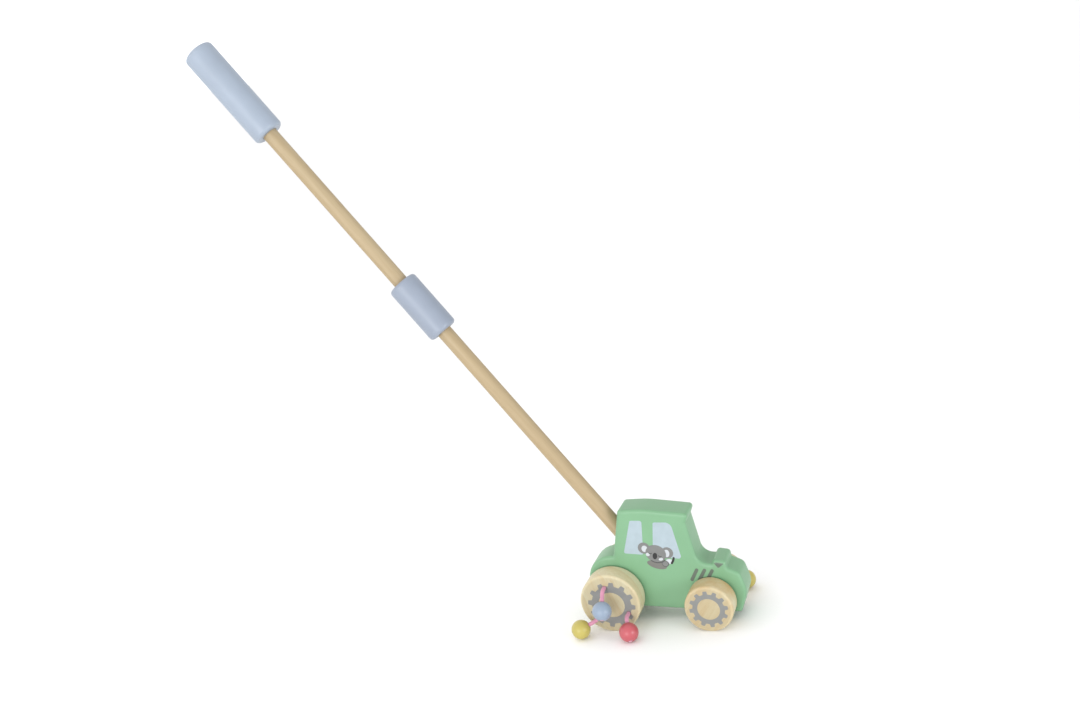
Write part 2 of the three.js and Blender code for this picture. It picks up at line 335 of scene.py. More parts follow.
def carve(obj, cutters, smooth_angle=40):
    """Cuts the cutters out of obj and removes them."""
    bpy.context.view_layer.update()
    for cutter in cutters:
        modifier = obj.modifiers.new("cut", "BOOLEAN")
        modifier.operation = "DIFFERENCE"
        modifier.solver = "EXACT"
        modifier.object = cutter
    depsgraph = bpy.context.evaluated_depsgraph_get()
    mesh = bpy.data.meshes.new_from_object(obj.evaluated_get(depsgraph))
    obj.modifiers.clear()
    obj.data = mesh
    for cutter in cutters:
        bpy.data.objects.remove(cutter)
    shade(obj, smooth_angle)
    return obj


# ---- materials -----------------------------------------------------------------------------
def srgb(r, g, b):
    """Linear colour from 0-255 display values."""
    def linear(v):
        v /= 255
        return v / 12.92 if v <= 0.04045 else ((v + 0.055) / 1.055) ** 2.4
    return (linear(r), linear(g), linear(b), 1.0)


class Shader:
    """A small builder over one material's node tree."""

    def __init__(self, name, roughness, coat=0.0, sheen=0.0, specular=0.5):
        self.material = bpy.data.materials.new(name)
        self.material.use_nodes = True
        self.tree = self.material.node_tree
        self.surface = self.tree.nodes["Principled BSDF"]
        self.surface.inputs["Roughness"].default_value = roughness
        self.surface.inputs["Specular IOR Level"].default_value = specular
        self.surface.inputs["Coat Weight"].default_value = coat
        self.surface.inputs["Coat Roughness"].default_value = 0.3
        self.surface.inputs["Sheen Weight"].default_value = sheen
        self.place = self.add("ShaderNodeAttribute", attribute_name="grain").outputs["Vector"]

    def add(self, kind, **settings):
        node = self.tree.nodes.new(kind)
        for key, value in settings.items():
            setattr(node, key, value)
        return node

    def link(self, source, socket):
        self.tree.links.new(source, socket)

    def stretched(self, scale, offset=(0, 0, 0), turn=0.0):
        """The piece's own coordinates turned about Y, then scaled."""
        turned = self.add("ShaderNodeMapping")
        turned.inputs["Rotation"].default_value = (0, turn, 0)
        self.link(self.place, turned.inputs["Vector"])
        node = self.add("ShaderNodeMapping")
        node.inputs["Scale"].default_value = scale
        node.inputs["Location"].default_value = offset
        self.link(turned.outputs["Vector"], node.inputs["Vector"])
        return node.outputs["Vector"]

    def noise(self, vector, scale, detail=3.0, roughness=0.5, distortion=0.0):
        node = self.add("ShaderNodeTexNoise")
        node.inputs["Scale"].default_value = scale
        node.inputs["Detail"].default_value = detail
        node.inputs["Roughness"].default_value = roughness
        node.inputs["Distortion"].default_value = distortion
        self.link(vector, node.inputs["Vector"])
        return node.outputs["Fac"]

    def ramp(self, factor, stops):
        node = self.add("ShaderNodeValToRGB")
        elements = node.color_ramp.elements
        elements[0].position, elements[0].color = stops[0]
        elements[1].position, elements[1].color = stops[-1]
        for position, color in stops[1:-1]:
            elements.new(position).color = color
        self.link(factor, node.inputs["Fac"])
        return node.outputs["Color"]

    def span(self, factor, low, high, from_low=0.0, from_high=1.0):
        node = self.add("ShaderNodeMapRange")
        node.inputs["From Min"].default_value = from_low
        node.inputs["From Max"].default_value = from_high
        node.inputs["To Min"].default_value = low
        node.inputs["To Max"].default_value = high
        self.link(factor, node.inputs["Value"])
        return node.outputs["Result"]

    def mix(self, factor, a, b, blend="MIX"):
        node = self.add("ShaderNodeMix", data_type="RGBA", blend_type=blend)
        for socket, value in zip((node.inputs[0], node.inputs[6], node.inputs[7]), (factor, a, b)):
            if isinstance(value, (int, float, tuple)):
                socket.default_value = value
            else:
                self.link(value, socket)
        return node.outputs[2]

    def color(self, source):
        self.link(source, self.surface.inputs["Base Color"])

    def roughness(self, source):
        self.link(source, self.surface.inputs["Roughness"])

    def bump(self, *layers):
        """Stacks (height, strength, distance) layers of bump."""
        normal = None
        for height, strength, distance in layers:
            node = self.add("ShaderNodeBump")
            node.inputs["Strength"].default_value = strength
            node.inputs["Distance"].default_value = distance
            self.link(height, node.inputs["Height"])
            if normal:
                self.link(normal, node.inputs["Normal"])
            normal = node.outputs["Normal"]
        self.link(normal, self.surface.inputs["Normal"])


def tint(color, factor):
    return tuple(min(1.0, c * factor) for c in color[:3]) + (1.0,)


def painted_wood(name, color, grain_scale=(1, 1, 1), roughness=0.42):
    """Satin paint: grain showing faintly through, brushed-out orange peel, thinner and paler on edges."""
    s = Shader(name, roughness, coat=0.12)
    grain = s.noise(s.stretched(grain_scale), 900, 4, 0.6, 0.4)
    cloud = s.noise(s.place, 45, 3, 0.5)
    peel = s.noise(s.place, 1400, 2, 0.5)
    base = s.ramp(cloud, [(0.3, tint(color, 0.965)), (0.7, tint(color, 1.03))])
    streaked = s.mix(s.span(grain, 0.0, 0.10, 0.35, 0.75), base, tint(color, 0.88))
    edges = s.add("ShaderNodeNewGeometry").outputs["Pointiness"]
    worn = s.mix(s.span(edges, 0.0, 0.35, 0.515, 0.56), streaked, tint(color, 1.14))
    s.color(worn)
    s.roughness(s.span(cloud, roughness - 0.05, roughness + 0.07, 0.3, 0.7))
    s.bump((grain, 0.10, 0.12 * MM), (peel, 0.12, 0.05 * MM))
    return s.material


# Painted light: how much paler a turned piece's tread is painted than its faces, as if lit.
TREAD_PAINTED_LIGHT = (1.27, 1.27, 1.27, 1)


def raw_wood(name, pale, dark, pore, along, ring_scale, offset=(0, 0, 0), turn=0.0, roughness=0.5, painted_light_rim=0.0):
    """Lacquered pale wood. along is the stretch of the grain: small numbers run with it.

    Given a turned piece's radius, its tread is painted paler than its faces: painted light for the light the tread
    catches."""
    s = Shader(name, roughness, coat=0.08)
    place = s.stretched(along, offset, turn)
    warp = s.noise(place, 25, 3, 0.5)
    rings = s.add("ShaderNodeTexWave", wave_type="BANDS", bands_direction="DIAGONAL", wave_profile="SAW")
    rings.inputs["Scale"].default_value = ring_scale
    rings.inputs["Distortion"].default_value = 5.0
    rings.inputs["Detail"].default_value = 2.5
    rings.inputs["Detail Scale"].default_value = 1.4
    s.link(place, rings.inputs["Vector"])
    fibre = s.noise(place, 420, 5, 0.65)
    patch = s.noise(place, 14, 2, 0.5)
    base = s.ramp(s.span(warp, 0.0, 1.0, 0.3, 0.7), [(0.0, dark), (0.55, pale), (1.0, tint(pale, 1.04))])
    ringed = s.mix(s.span(rings.outputs["Fac"], 0.0, 0.32, 0.45, 1.0), base, dark)
    blotched = s.mix(s.span(patch, 0.0, 0.35, 0.5, 0.75), ringed, tint(dark, 1.06))
    fibred = s.mix(s.span(fibre, 0.0, 0.28, 0.42, 0.7), blotched, tint(dark, 0.92))
    pores = s.span(s.noise(place, 1500, 2, 0.4), 0.0, 1.0, 0.66, 0.72)
    if painted_light_rim:
        across = s.add("ShaderNodeVectorMath", operation="LENGTH")
        s.link(s.stretched((1, 0, 1)), across.inputs[0])
        # Painted light: the colour grows paler towards the rim, standing in for the light falling on the tread.
        tread = s.span(across.outputs["Value"], 0.0, 1.0, painted_light_rim - 2.2 * MM, painted_light_rim - 0.6 * MM)
        fibred = s.mix(tread, fibred, TREAD_PAINTED_LIGHT, "MULTIPLY")
    s.color(s.mix(s.span(pores, 0.0, 0.45), fibred, pore))
    s.roughness(s.span(fibre, roughness - 0.04, roughness + 0.1, 0.3, 0.7))
    s.bump((fibre, 0.12, 0.08 * MM), (pores, -0.25, 0.06 * MM))
    return s.material


def printed_ink(name, color):
    """Screen-printed ink: a thin matt film with fine speckle."""
    s = Shader(name, 0.5)
    speckle = s.noise(s.place, 2600, 2, 0.6)
    wash = s.noise(s.place, 160, 3, 0.5)
    base = s.ramp(wash, [(0.3, tint(color, 0.95)), (0.7, tint(color, 1.05))])
    s.color(s.mix(s.span(speckle, 0.0, 0.18, 0.55, 0.75), base, tint(color, 1.25)))
    s.bump((speckle, 0.15, 0.03 * MM))
    return s.material


def cotton(name, color):
    """Dyed cotton cord: fine fibres over the braid, with sheen."""
    s = Shader(name, 0.85, sheen=0.35, specular=0.25)
    fibre = s.noise(s.place, 3200, 3, 0.7)
    shade_patch = s.noise(s.place, 260, 2, 0.5)
    base = s.ramp(shade_patch, [(0.3, tint(color, 0.9)), (0.7, tint(color, 1.08))])
    s.color(s.mix(s.span(fibre, 0.0, 0.35, 0.45, 0.75), base, tint(color, 1.22)))
    s.bump((fibre, 0.35, 0.06 * MM))
    return s.material


WOOD_PALE = srgb(183, 180, 153)
WOOD_DARK = srgb(170, 140, 94)
WOOD_PORE = srgb(160, 132, 92)
ROD_PALE = srgb(176, 158, 126)
ROD_DARK = srgb(160, 138, 102)

GREEN = srgb(116, 161, 123)
PALE_BLUE = srgb(151, 162, 177)
COUPLING_BLUE = srgb(139, 148, 163)
BEAD_COLORS = {
    "blue": srgb(136, 151, 170),
    "red": srgb(182, 84, 92),
    "yellow": srgb(180, 167, 86),
}
INK_GREY = srgb(124, 125, 123)
INK_VENT = srgb(92, 104, 92)
INK_WINDOW = srgb(160, 175, 183)
INK_FUR = srgb(116, 117, 116)
INK_FUR_SHADE = srgb(110, 109, 105)
INK_FUR_LINE = srgb(72, 72, 72)
INK_PALE = srgb(188, 192, 197)
INK_DARK = srgb(34, 34, 35)
CORD_PINK = srgb(195, 134, 158)

GREEN_PAINT = painted_wood("green_paint", GREEN, (0.12, 1, 1))
BLUE_PAINT = painted_wood("blue_paint", PALE_BLUE, (1, 0.08, 1))
COUPLING_PAINT = painted_wood("coupling_paint", COUPLING_BLUE, (1, 0.08, 1))
BEAD_PAINT = {name: painted_wood(f"bead_paint_{name}", color, (1, 0.3, 1), 0.36)
              for name, color in BEAD_COLORS.items()}
ROD_WOOD = raw_wood("rod_wood", ROD_PALE, ROD_DARK, WOOD_PORE, (1, 0.05, 1), 90)
AXLE_WOOD = raw_wood("axle_wood", WOOD_PALE, WOOD_DARK, WOOD_PORE, (1, 0.05, 1), 90)
COTTON = cotton("pink_cotton", CORD_PINK)


def wheel_wood(name, radius, offset, turn):
    """Flat-grained wood with the fibres across the wheel's face, and its tread painted paler as painted light."""
    return raw_wood(name, WOOD_PALE, WOOD_DARK, WOOD_PORE, (1, 1, 0.12), 26, offset, turn, painted_light_rim=radius)


# ---- the block -------------------------------------------------------------------------------
# The same corners as the block has in CAD, in millimetres, with their radii.
BODY_OUTLINE = [
    (-21.1, -11.4, 6),
    (97.6, -11.4, 2.8),
    (103.0, 6.5, 16),
    (97.9, 21.5, 6),
    (88.6, 25.2, 1.4),
    (87.6, 30.6, 2.7),
    (77.9, 31.6, 2.7),
    (77.3, 27.8, 0.8),
    (66.8, 27.9, 9.5),
    (59.4, 60.9, 1.6),
    (62.2, 68.4, 2.7),
    (26.0, 71.0, 90),
    (6.8, 69.4, 3),
    (0.4, 30.6, 1),
    (-21.1, 30.6, 20.3),
]


ROD_BORE_CUT = 120 * MM  # from the rod's foot to well outside the block


def body_block():
    """The profile-cut block with quarter-round edges, bored for both axles and the rod."""
    corners = [(x * MM, z * MM, r * MM) for x, z, r in BODY_OUTLINE]
    edge_steps = 7
    layers = []
    for k in range(edge_steps + 1):
        angle = math.pi / 2 * k / edge_steps
        inset = BODY_EDGE_RADIUS * (1 - math.sin(angle))
        depth = HALF_BODY - BODY_EDGE_RADIUS * (1 - math.cos(angle))
        layers.append((-depth, inset))
    layers += [(-y, inset) for y, inset in reversed(layers)]
    verts, loops = [], []
    for y, inset in layers:
        loop = rounded_loop(corners, inset)
        loops.append(range(len(verts), len(verts) + len(loop)))
        verts += [(p.x, y, p.y) for p in loop]
    faces = []
    for low, high in zip(loops, loops[1:]):
        for k in range(len(low)):
            n = (k + 1) % len(low)
            faces.append((low[k], low[n], high[n], high[k]))
    faces.append(tuple(reversed(loops[0])))
    faces.append(tuple(loops[-1]))
    block = outward(new_object("body_paintwork", verts, faces, 50))
    rod_bore = ROD_IN_AXLE_FRAME @ Matrix.Translation((0, ROD_BORE_CUT / 2, 0))
    bores = [
        cylinder_cutter(AXLE_RADIUS + SEAT_GAP, 4 * HALF_BODY, Matrix.Identity(4)),
        cylinder_cutter(AXLE_RADIUS + SEAT_GAP, 4 * HALF_BODY, Matrix.Translation((WHEELBASE, 0, 0))),
        cylinder_cutter(ROD_RADIUS + SEAT_GAP, ROD_BORE_CUT, rod_bore, 96),
    ]
    carve(block, bores, 50)
    block.data.materials.append(GREEN_PAINT)
    return block


# ---- prints ------------------------------------------------------------------------------------
def ray_surface(obj):
    """A function that gives the block's side surface at a point of the axle frame."""
    tree = BVHTree.FromObject(obj, bpy.context.evaluated_depsgraph_get())

    def surface(x, z, side):
        hit, _, _, _ = tree.ray_cast(Vector((x, side * 0.1, z)), Vector((0, -side, 0)))
        return hit.y
    return surface


INK_ROOT = 0.06 * MM  # how far a film reaches into the paint
INK_LIFT = 0.04 * MM  # how far a film stands proud
KOALA_LIFT = 0.06 * MM
KOALA_LAYER = 0.012 * MM


def print_film(name, outline, side, surface, material, lift=INK_LIFT, cuts=0):
    """A thin film of ink in the shape of outline, laid on a side of the block.

    cuts divides the film so that it follows the block's rounded edge."""
    bm = bmesh.new()
    ring = [bm.verts.new((x, 0, z)) for x, z in outline]
    bm.faces.new(ring)
    bmesh.ops.triangulate(bm, faces=bm.faces[:])
    if cuts:
        bmesh.ops.subdivide_edges(bm, edges=bm.edges[:], cuts=cuts, use_grid_fill=True)
        bmesh.ops.triangulate(bm, faces=bm.faces[:])
    outer = {v: surface(v.co.x, v.co.z, side) for v in bm.verts}
    for v, y in outer.items():
        v.co.y = y - side * INK_ROOT
    extruded = bmesh.ops.extrude_face_region(bm, geom=bm.faces[:])
    for item in extruded["geom"]:
        if isinstance(item, bmesh.types.BMVert):
            item.co.y = surface(item.co.x, item.co.z, side) + side * lift
    bmesh.ops.recalc_face_normals(bm, faces=bm.faces)
    mesh = bpy.data.meshes.new(name)
    bm.to_mesh(mesh)
    bm.free()
    film = bpy.data.objects.new(name, mesh)
    bpy.context.collection.objects.link(film)
    shade(film, 30)
    film.data.materials.append(material)
    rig.ride(settle(film, AXLE_FRAME), "root")


def outline_mm(corners, steps=8):
    """A rounded outline from (x, z, radius) corners in millimetres, anticlockwise."""
    return [(p.x, p.y) for p in rounded_loop([(x * MM, z * MM, r * MM) for x, z, r in corners], 0, steps)]


def ellipse_mm(x, z, half_x, half_z, tilt=0, count=40):
    c, s = math.cos(math.radians(tilt)), math.sin(math.radians(tilt))
    out = []
    for k in range(count):
        a = 2 * math.pi * k / count
        u, v = half_x * math.cos(a), half_z * math.sin(a)
        out.append(((x + u * c - v * s) * MM, (z + u * s + v * c) * MM))
    return out


def stroke_mm(points, width, cap_steps=8):
    """An outline round a line of points in millimetres, with round ends."""
    path = [Vector(p) for p in points]
    half = width / 2
    sides = []
    for i, p in enumerate(path):
        ahead = path[min(i + 1, len(path) - 1)] - path[max(i - 1, 0)]
        sides.append(Vector((-ahead.y, ahead.x)).normalized() * half)
    out = []
    for end, order in ((0, 1), (-1, -1)):
        start = math.atan2(sides[end].y, sides[end].x)
        if order < 0:
            start += math.pi
        for k in range(cap_steps + 1):
            a = start + math.pi * k / cap_steps
            out.append(path[end] + Vector((math.cos(a), math.sin(a))) * half)
        inner = range(1, len(path) - 1)
        for i in (inner if order > 0 else reversed(inner)):
            out.append(path[i] - sides[i] * order)
    return [(p.x * MM, p.y * MM) for p in out]


def arc_points(x, z, radius, from_deg, to_deg, steps=8):
    out = []
    for k in range(steps + 1):
        a = math.radians(from_deg + (to_deg - from_deg) * k / steps)
        out.append((x + radius * math.cos(a), z + radius * math.sin(a)))
    return out


REAR_WINDOW = [(9.3, 34.0, 1.2), (24.7, 33.5, 1.4), (25.7, 61.9, 1.8), (16.3, 61.6, 1.4)]
FRONT_WINDOW = [(32.2, 32.2, 1.4), (54.7, 31.5, 2.0), (48.0, 61.4, 5.5), (34.4, 60.9, 1.4)]
VENTS = [((65.5, 22.7), (61.4, 14.4)), ((71.5, 22.8), (67.2, 14.7)), ((77.3, 22.7), (73.1, 14.4))]
VENT_WIDTH = 2.7
HOOD_MARK = [(78.3, 30.0, 0.3), (82.2, 24.9, 1.1), (86.6, 29.0, 0.4)]


def koala_prints():
    """A generic koala at the window, as (name, outline, ink) from back to front."""
    fur, shade_fur, line, pale, black = [printed_ink(f"ink_{name}", color) for name, color in (
        ("fur", INK_FUR), ("fur_shade", INK_FUR_SHADE), ("fur_line", INK_FUR_LINE),
        ("fur_pale", INK_PALE), ("dark", INK_DARK))]
    tilt = -14
    chin = [(30.8, 29.0), (32.8, 27.9), (35.4, 27.4), (38.2, 27.7), (40.2, 28.6), (41.4, 29.8)]
    return [
        ("koala_bib", ellipse_mm(44.8, 28.8, 2.7, 2.1), pale),
        ("koala_wheel", stroke_mm([(48.4, 31.9), (48.2, 30.6), (47.6, 29.1), (46.6, 27.4)], 1.7), black),
        ("koala_body", ellipse_mm(34.9, 25.5, 7.9, 3.2, tilt), shade_fur),
        ("koala_paw_line", ellipse_mm(41.7, 26.7, 2.8, 2.6), line),
        ("koala_paw", ellipse_mm(41.6, 26.8, 2.3, 2.1), fur),
        ("koala_ear_rear", ellipse_mm(25.6, 39.15, 4.7, 4.7), fur),
        ("koala_ear_front", ellipse_mm(43.7, 36.0, 4.7, 4.7), fur),
        ("koala_ear_rear_inner", ellipse_mm(26.1, 38.6, 2.3, 2.7), pale),
        ("koala_ear_front_inner", ellipse_mm(43.2, 35.5, 2.2, 3.1), pale),
        ("koala_head", ellipse_mm(34.7, 34.9, 8.1, 7.2, tilt), fur),
        ("koala_cheek_rear", ellipse_mm(28.4, 34.0, 1.6, 1.4, 20), pale),
        ("koala_cheek_front", ellipse_mm(38.4, 30.4, 1.8, 1.1, 15), pale),
        ("koala_eye_rear", stroke_mm(arc_points(30.3, 35.7, 1.1, 195, 325), 0.75), line),
        ("koala_eye_front", stroke_mm(arc_points(37.9, 33.6, 1.1, 195, 325), 0.75), line),
        ("koala_chin", stroke_mm(chin, 0.75), line),
        ("koala_nose", ellipse_mm(33.9, 32.9, 1.8, 2.75, -8), black),
    ]


def block_prints(block):
    surface = ray_surface(block)
    window = printed_ink("ink_window", INK_WINDOW)
    vent = printed_ink("ink_vent", INK_VENT)
    shapes = [
        ("window_rear", outline_mm(REAR_WINDOW), window),
        ("window_front", outline_mm(FRONT_WINDOW), window),
    ]
    shapes += [(f"vent_{i + 1}", stroke_mm(ends, VENT_WIDTH), vent) for i, ends in enumerate(VENTS)]
    koala = koala_prints()
    for side, word in ((RIGHT, "right"), (LEFT, "left")):
        for name, outline, ink in shapes:
            print_film(f"print_{name}_{word}", outline, side, surface, ink)
        print_film(f"print_hood_mark_{word}", outline_mm(HOOD_MARK), side, surface, vent, cuts=4)
        for layer, (name, outline, ink) in enumerate(koala):
            print_film(f"print_{name}_{word}", outline, side, surface, ink, KOALA_LIFT + KOALA_LAYER * layer)


# ---- wheels ---------------------------------------------------------------------------------------
WHEEL_EDGE_RADIUS = 2.2 * MM
AXLE_SEAT_DEPTH = 11.3 * MM
REAR_GEAR = {"inner": 10.4, "root": 15.9, "tip": 18.9, "tooth": 4.0, "phase": -7, "centre": (1.3, -0.85)}
FRONT_GEAR = {"inner": 8.6, "root": 12.3, "tip": 14.9, "tooth": 3.3, "phase": 5, "centre": (0.2, 0.3)}
GEAR_TEETH = 12
GEAR_CORNER = 0.55  # millimetres
GEAR_INK_ROOT = 0.08 * MM
GEAR_INK_LIFT = 0.05 * MM


def hole_cutters(hub, side, holes):
    """Cutters for the cord holes, in the wheel's own coordinates."""
    overrun = 1 * MM
    y = side * (WHEEL_FACE_Y - CORD_HOLE_DEPTH / 2 + overrun / 2)
    depth = CORD_HOLE_DEPTH + overrun
    return [cylinder_cutter(CORD_HOLE_RADIUS, depth, Matrix.Translation((hole.x - hub.x, y, hole.z - hub.z)))
            for hole in holes]


def wheel(name, hub, radius, side, holes, material):
    """A round-edged wheel with a blind axle seat and, where it carries beads, its cord holes."""
    width = WHEEL_FACE_Y - WHEEL_INNER_Y
    inset = radius - WHEEL_EDGE_RADIUS
    seat = AXLE_RADIUS + SEAT_GAP
    profile = [(0, AXLE_SEAT_DEPTH), (seat, AXLE_SEAT_DEPTH), (seat, 0)]
    profile += round_corner(inset, WHEEL_EDGE_RADIUS, WHEEL_EDGE_RADIUS, -90, 0)
    profile += round_corner(inset, width - WHEEL_EDGE_RADIUS, WHEEL_EDGE_RADIUS, 0, 90)
    profile += [(0, width)]
    blank = lathe(f"{name}_wood", profile, 128)
    turn = Matrix.Identity(4) if side == LEFT else Matrix.Rotation(math.pi, 4, "X")
    blank.data.transform(Matrix.Translation((0, side * WHEEL_INNER_Y, 0)) @ turn)
    if holes:
        carve(blank, hole_cutters(hub, side, holes), 35)
    blank.data.materials.append(material)
    return settle(blank, Matrix.Translation(hub))


def gear_outline(gear):
    """The toothed outer outline of a gear print about its own centre, with softened corners."""
    corners = []
    half = gear["tooth"] / 2
    tooth_sides = ((-1, "root", 1.12), (-1, "tip", 0.86), (1, "tip", 0.86), (1, "root", 1.12))
    for k in range(GEAR_TEETH):
        middle = math.radians(gear["phase"] + 360 * k / GEAR_TEETH)
        out = Vector((math.cos(middle), math.sin(middle)))
        across = Vector((-out.y, out.x)) * half
        for sign, reach, taper in tooth_sides:
            p = out * math.sqrt(gear[reach] ** 2 - half ** 2) + across * sign * taper
            corners.append((p.x, p.y, GEAR_CORNER))
    return outline_mm(corners, 4)


def gear_print(name, hub, side, gear, holes, ink):
    """The printed ring: a toothed film with a round opening, and with the cord holes through it."""
    teeth = gear_outline(gear)
    inner = []
    for x, z in teeth:
        angle = math.atan2(z, x)
        inner.append((gear["inner"] * MM * math.cos(angle), gear["inner"] * MM * math.sin(angle)))
    count = len(teeth)
    shift_x, shift_z = gear["centre"][0] * MM, gear["centre"][1] * MM
    verts, faces = [], []
    for y in (WHEEL_FACE_Y - GEAR_INK_ROOT, WHEEL_FACE_Y + GEAR_INK_LIFT):
        for loop in (teeth, inner):
            verts += [(x + shift_x, side * y, z + shift_z) for x, z in loop]
    for k in range(count):
        n = (k + 1) % count
        for a, b in ((0, 1), (2, 3), (0, 2), (1, 3)):
            faces.append((a * count + k, a * count + n, b * count + n, b * count + k))
    ring = outward(new_object(name, verts, faces, 30))
    if holes:
        carve(ring, hole_cutters(hub, side, holes), 30)
    ring.data.materials.append(ink)
    return settle(ring, Matrix.Translation(hub))


def axle(name, centre):
    """A dowel with chamfered ends."""
    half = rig.box("rear_axle")[1][1]
    chamfer = 0.6 * MM
    profile = [(0, -half), (AXLE_RADIUS - chamfer, -half), (AXLE_RADIUS, chamfer - half)]
    profile += [(AXLE_RADIUS, half - chamfer), (AXLE_RADIUS - chamfer, half), (0, half)]
    dowel = lathe(f"{name}_dowel", profile, 64)
    dowel.data.materials.append(AXLE_WOOD)
    return settle(dowel, Matrix.Translation(centre))


# ---- rod, sleeve, grip ------------------------------------------------------------------------------
LOWER_ROD_LENGTH = 253 * MM
UPPER_ROD_LENGTH = 249 * MM
ROD_END_GAP = 1 * MM
SLEEVE_RADIUS = 12.1 * MM
SLEEVE_LENGTH = 50 * MM
GRIP_RADIUS = 12.4 * MM
GRIP_LENGTH = 84 * MM
GRIP_TOP_WALL = 12 * MM
END_ROUNDING = 3 * MM


def on_rod(obj, material):
    obj.data.materials.append(material)
    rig.ride(settle(obj, AXLE_FRAME @ ROD_IN_AXLE_FRAME), "root")
    return obj


def rod_piece(name, low, high):
    """One half of the rod, measured up the rod from its foot."""
    chamfer = 0.8 * MM
    profile = [(0, low), (ROD_RADIUS - chamfer, low), (ROD_RADIUS, low + chamfer)]
    profile += [(ROD_RADIUS, low + (high - low) * k / 12) for k in range(1, 12)]
    profile += [(ROD_RADIUS, high - chamfer), (ROD_RADIUS - chamfer, high), (0, high)]
    return lathe(name, profile, 96)


def turned_sleeve(name, radius, low, high, top_wall):
    """A turned grip or coupling with rounded ends and a softened bore. top_wall is 0 for a through bore."""
    bore = ROD_RADIUS + SEAT_GAP
    lip = 0.5 * MM
    inset = radius - END_ROUNDING
    outer = round_corner(inset, low + END_ROUNDING, END_ROUNDING, -90, 0)
    outer += [(radius, low + (high - low) * k / 8) for k in range(1, 8)]
    outer += round_corner(inset, high - END_ROUNDING, END_ROUNDING, 0, 90)
    mouth = round_corner(bore + lip, low + lip, lip, 180, 270, 4)
    if top_wall:
        seat = high - top_wall
        return lathe(name, [(0, seat), (bore, seat)] + mouth + outer + [(0, high)], 128)
    top_mouth = round_corner(bore + lip, high - lip, lip, 90, 180, 4)
    profile = mouth + outer + top_mouth
    return lathe(name, profile + [profile[0]], 128)


def rod_assembly():
    middle = LOWER_ROD_LENGTH + ROD_END_GAP / 2
    upper_foot = LOWER_ROD_LENGTH + ROD_END_GAP
    grip_foot = upper_foot + UPPER_ROD_LENGTH + 0.3 * MM - (GRIP_LENGTH - GRIP_TOP_WALL)
    half_sleeve = SLEEVE_LENGTH / 2
    pieces = [
        ("rod_lower", rod_piece("rod_lower_dowel", 0, LOWER_ROD_LENGTH), ROD_WOOD),
        ("rod_upper", rod_piece("rod_upper_dowel", upper_foot, upper_foot + UPPER_ROD_LENGTH), ROD_WOOD),
        ("rod_coupling", turned_sleeve("coupling_sleeve", SLEEVE_RADIUS, middle - half_sleeve,
                                       middle + half_sleeve, 0), COUPLING_PAINT),
        ("handle_grip", turned_sleeve("grip", GRIP_RADIUS, grip_foot, grip_foot + GRIP_LENGTH,
                                      GRIP_TOP_WALL), BLUE_PAINT),
    ]
    for node, obj, material in pieces:
        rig.replaces(on_rod(obj, material), node)


# ---- clapper beads --------------------------------------------------------------------------------------
# Each cord is [distance out of the wheel face, distance across it] in millimetres, from the buried end on.
# The bead's centre lies on the third point from the end.
HIGH_CORD = [
    [-8, 0], [-6, 0], [-4, 0], [-2, 0], [0, 0], [2.1, 0], [3.7, 0.2], [5.25, 0.75], [6.6, 1.7], [7.7, 2.9],
    [9.3, 5.2], [10.95, 7.55], [12.6, 9.9], [14.2, 12.2], [16.25, 15.1], [18.3, 18],
]
NEAR_CORD = [
    [-8, 0], [-6, 0], [-4, 0], [-2, 0], [0, 0], [1.9, 0], [3.8, 0], [5.3, 0.15], [6.7, 0.65], [7.95, 1.4],
    [9, 2.4], [10.75, 4.5], [12.5, 6.55], [14.2, 8.6], [16.5, 11.3], [18.75, 14.05],
]
LOW_CORD = [
    [-8, 0], [-6, 0], [-4, 0], [-2, 0], [0, 0], [1.7, 0.15], [3, 0.55], [4.2, 1.2], [5.25, 2.1], [6.1, 3.2],
    [6.7, 4.5], [7.55, 6.9], [8.45, 9.3], [9.3, 11.7], [10.2, 14.1], [11.4, 17.45], [12.6, 20.8],
]
SIDE_CORD = [
    [-8, 0], [-6, 0], [-4, 0], [-2, 0], [0, 0], [1.65, 0.15], [3.05, 0.65], [4.3, 1.4], [5.4, 2.4],
    [6.2, 3.65], [6.75, 5.05], [7.4, 7.5], [8.05, 9.9], [8.7, 12.35], [9.6, 15.8], [10.55, 19.2],
]
# Each bead hangs from its own hole, which its joint gives, at an angle in degrees above +X.
BEAD_SETS = [
    {"word": "rear_right", "side": RIGHT, "body": "rear_wheels",
     "beads": {"blue": (-89, HIGH_CORD), "red": (-72, NEAR_CORD), "yellow": (-157, LOW_CORD)}},
    {"word": "front_left", "side": LEFT, "body": "front_wheels",
     "beads": {"yellow": (-66, SIDE_CORD), "blue": (-62, HIGH_CORD), "red": (-171, HIGH_CORD)}},
]


def hole_place(bead_set, color):
    return Vector(JOINTS[f"{color}_{bead_set['word']}_swing"]["pos_m"])


def cord_path(bead_set, color):
    swing, route = bead_set["beads"][color]
    across = Vector((math.cos(math.radians(swing)), 0, math.sin(math.radians(swing))))
    out = Vector((0, bead_set["side"], 0))
    return [hole_place(bead_set, color) + out * o * MM + across * a * MM for o, a in route]


def smooth_path(points, per_span=12):
    """A Catmull-Rom curve through the points."""
    padded = [points[0] * 2 - points[1]] + points + [points[-1] * 2 - points[-2]]
    out = []
    for a, b, c, d in zip(padded, padded[1:], padded[2:], padded[3:]):
        for k in range(per_span):
            t = k / per_span
            out.append(0.5 * (2 * b + (c - a) * t + (2 * a - 5 * b + 4 * c - d) * t * t
                              + (3 * b - a - 3 * c + d) * t ** 3))
    out.append(points[-1])
    return out


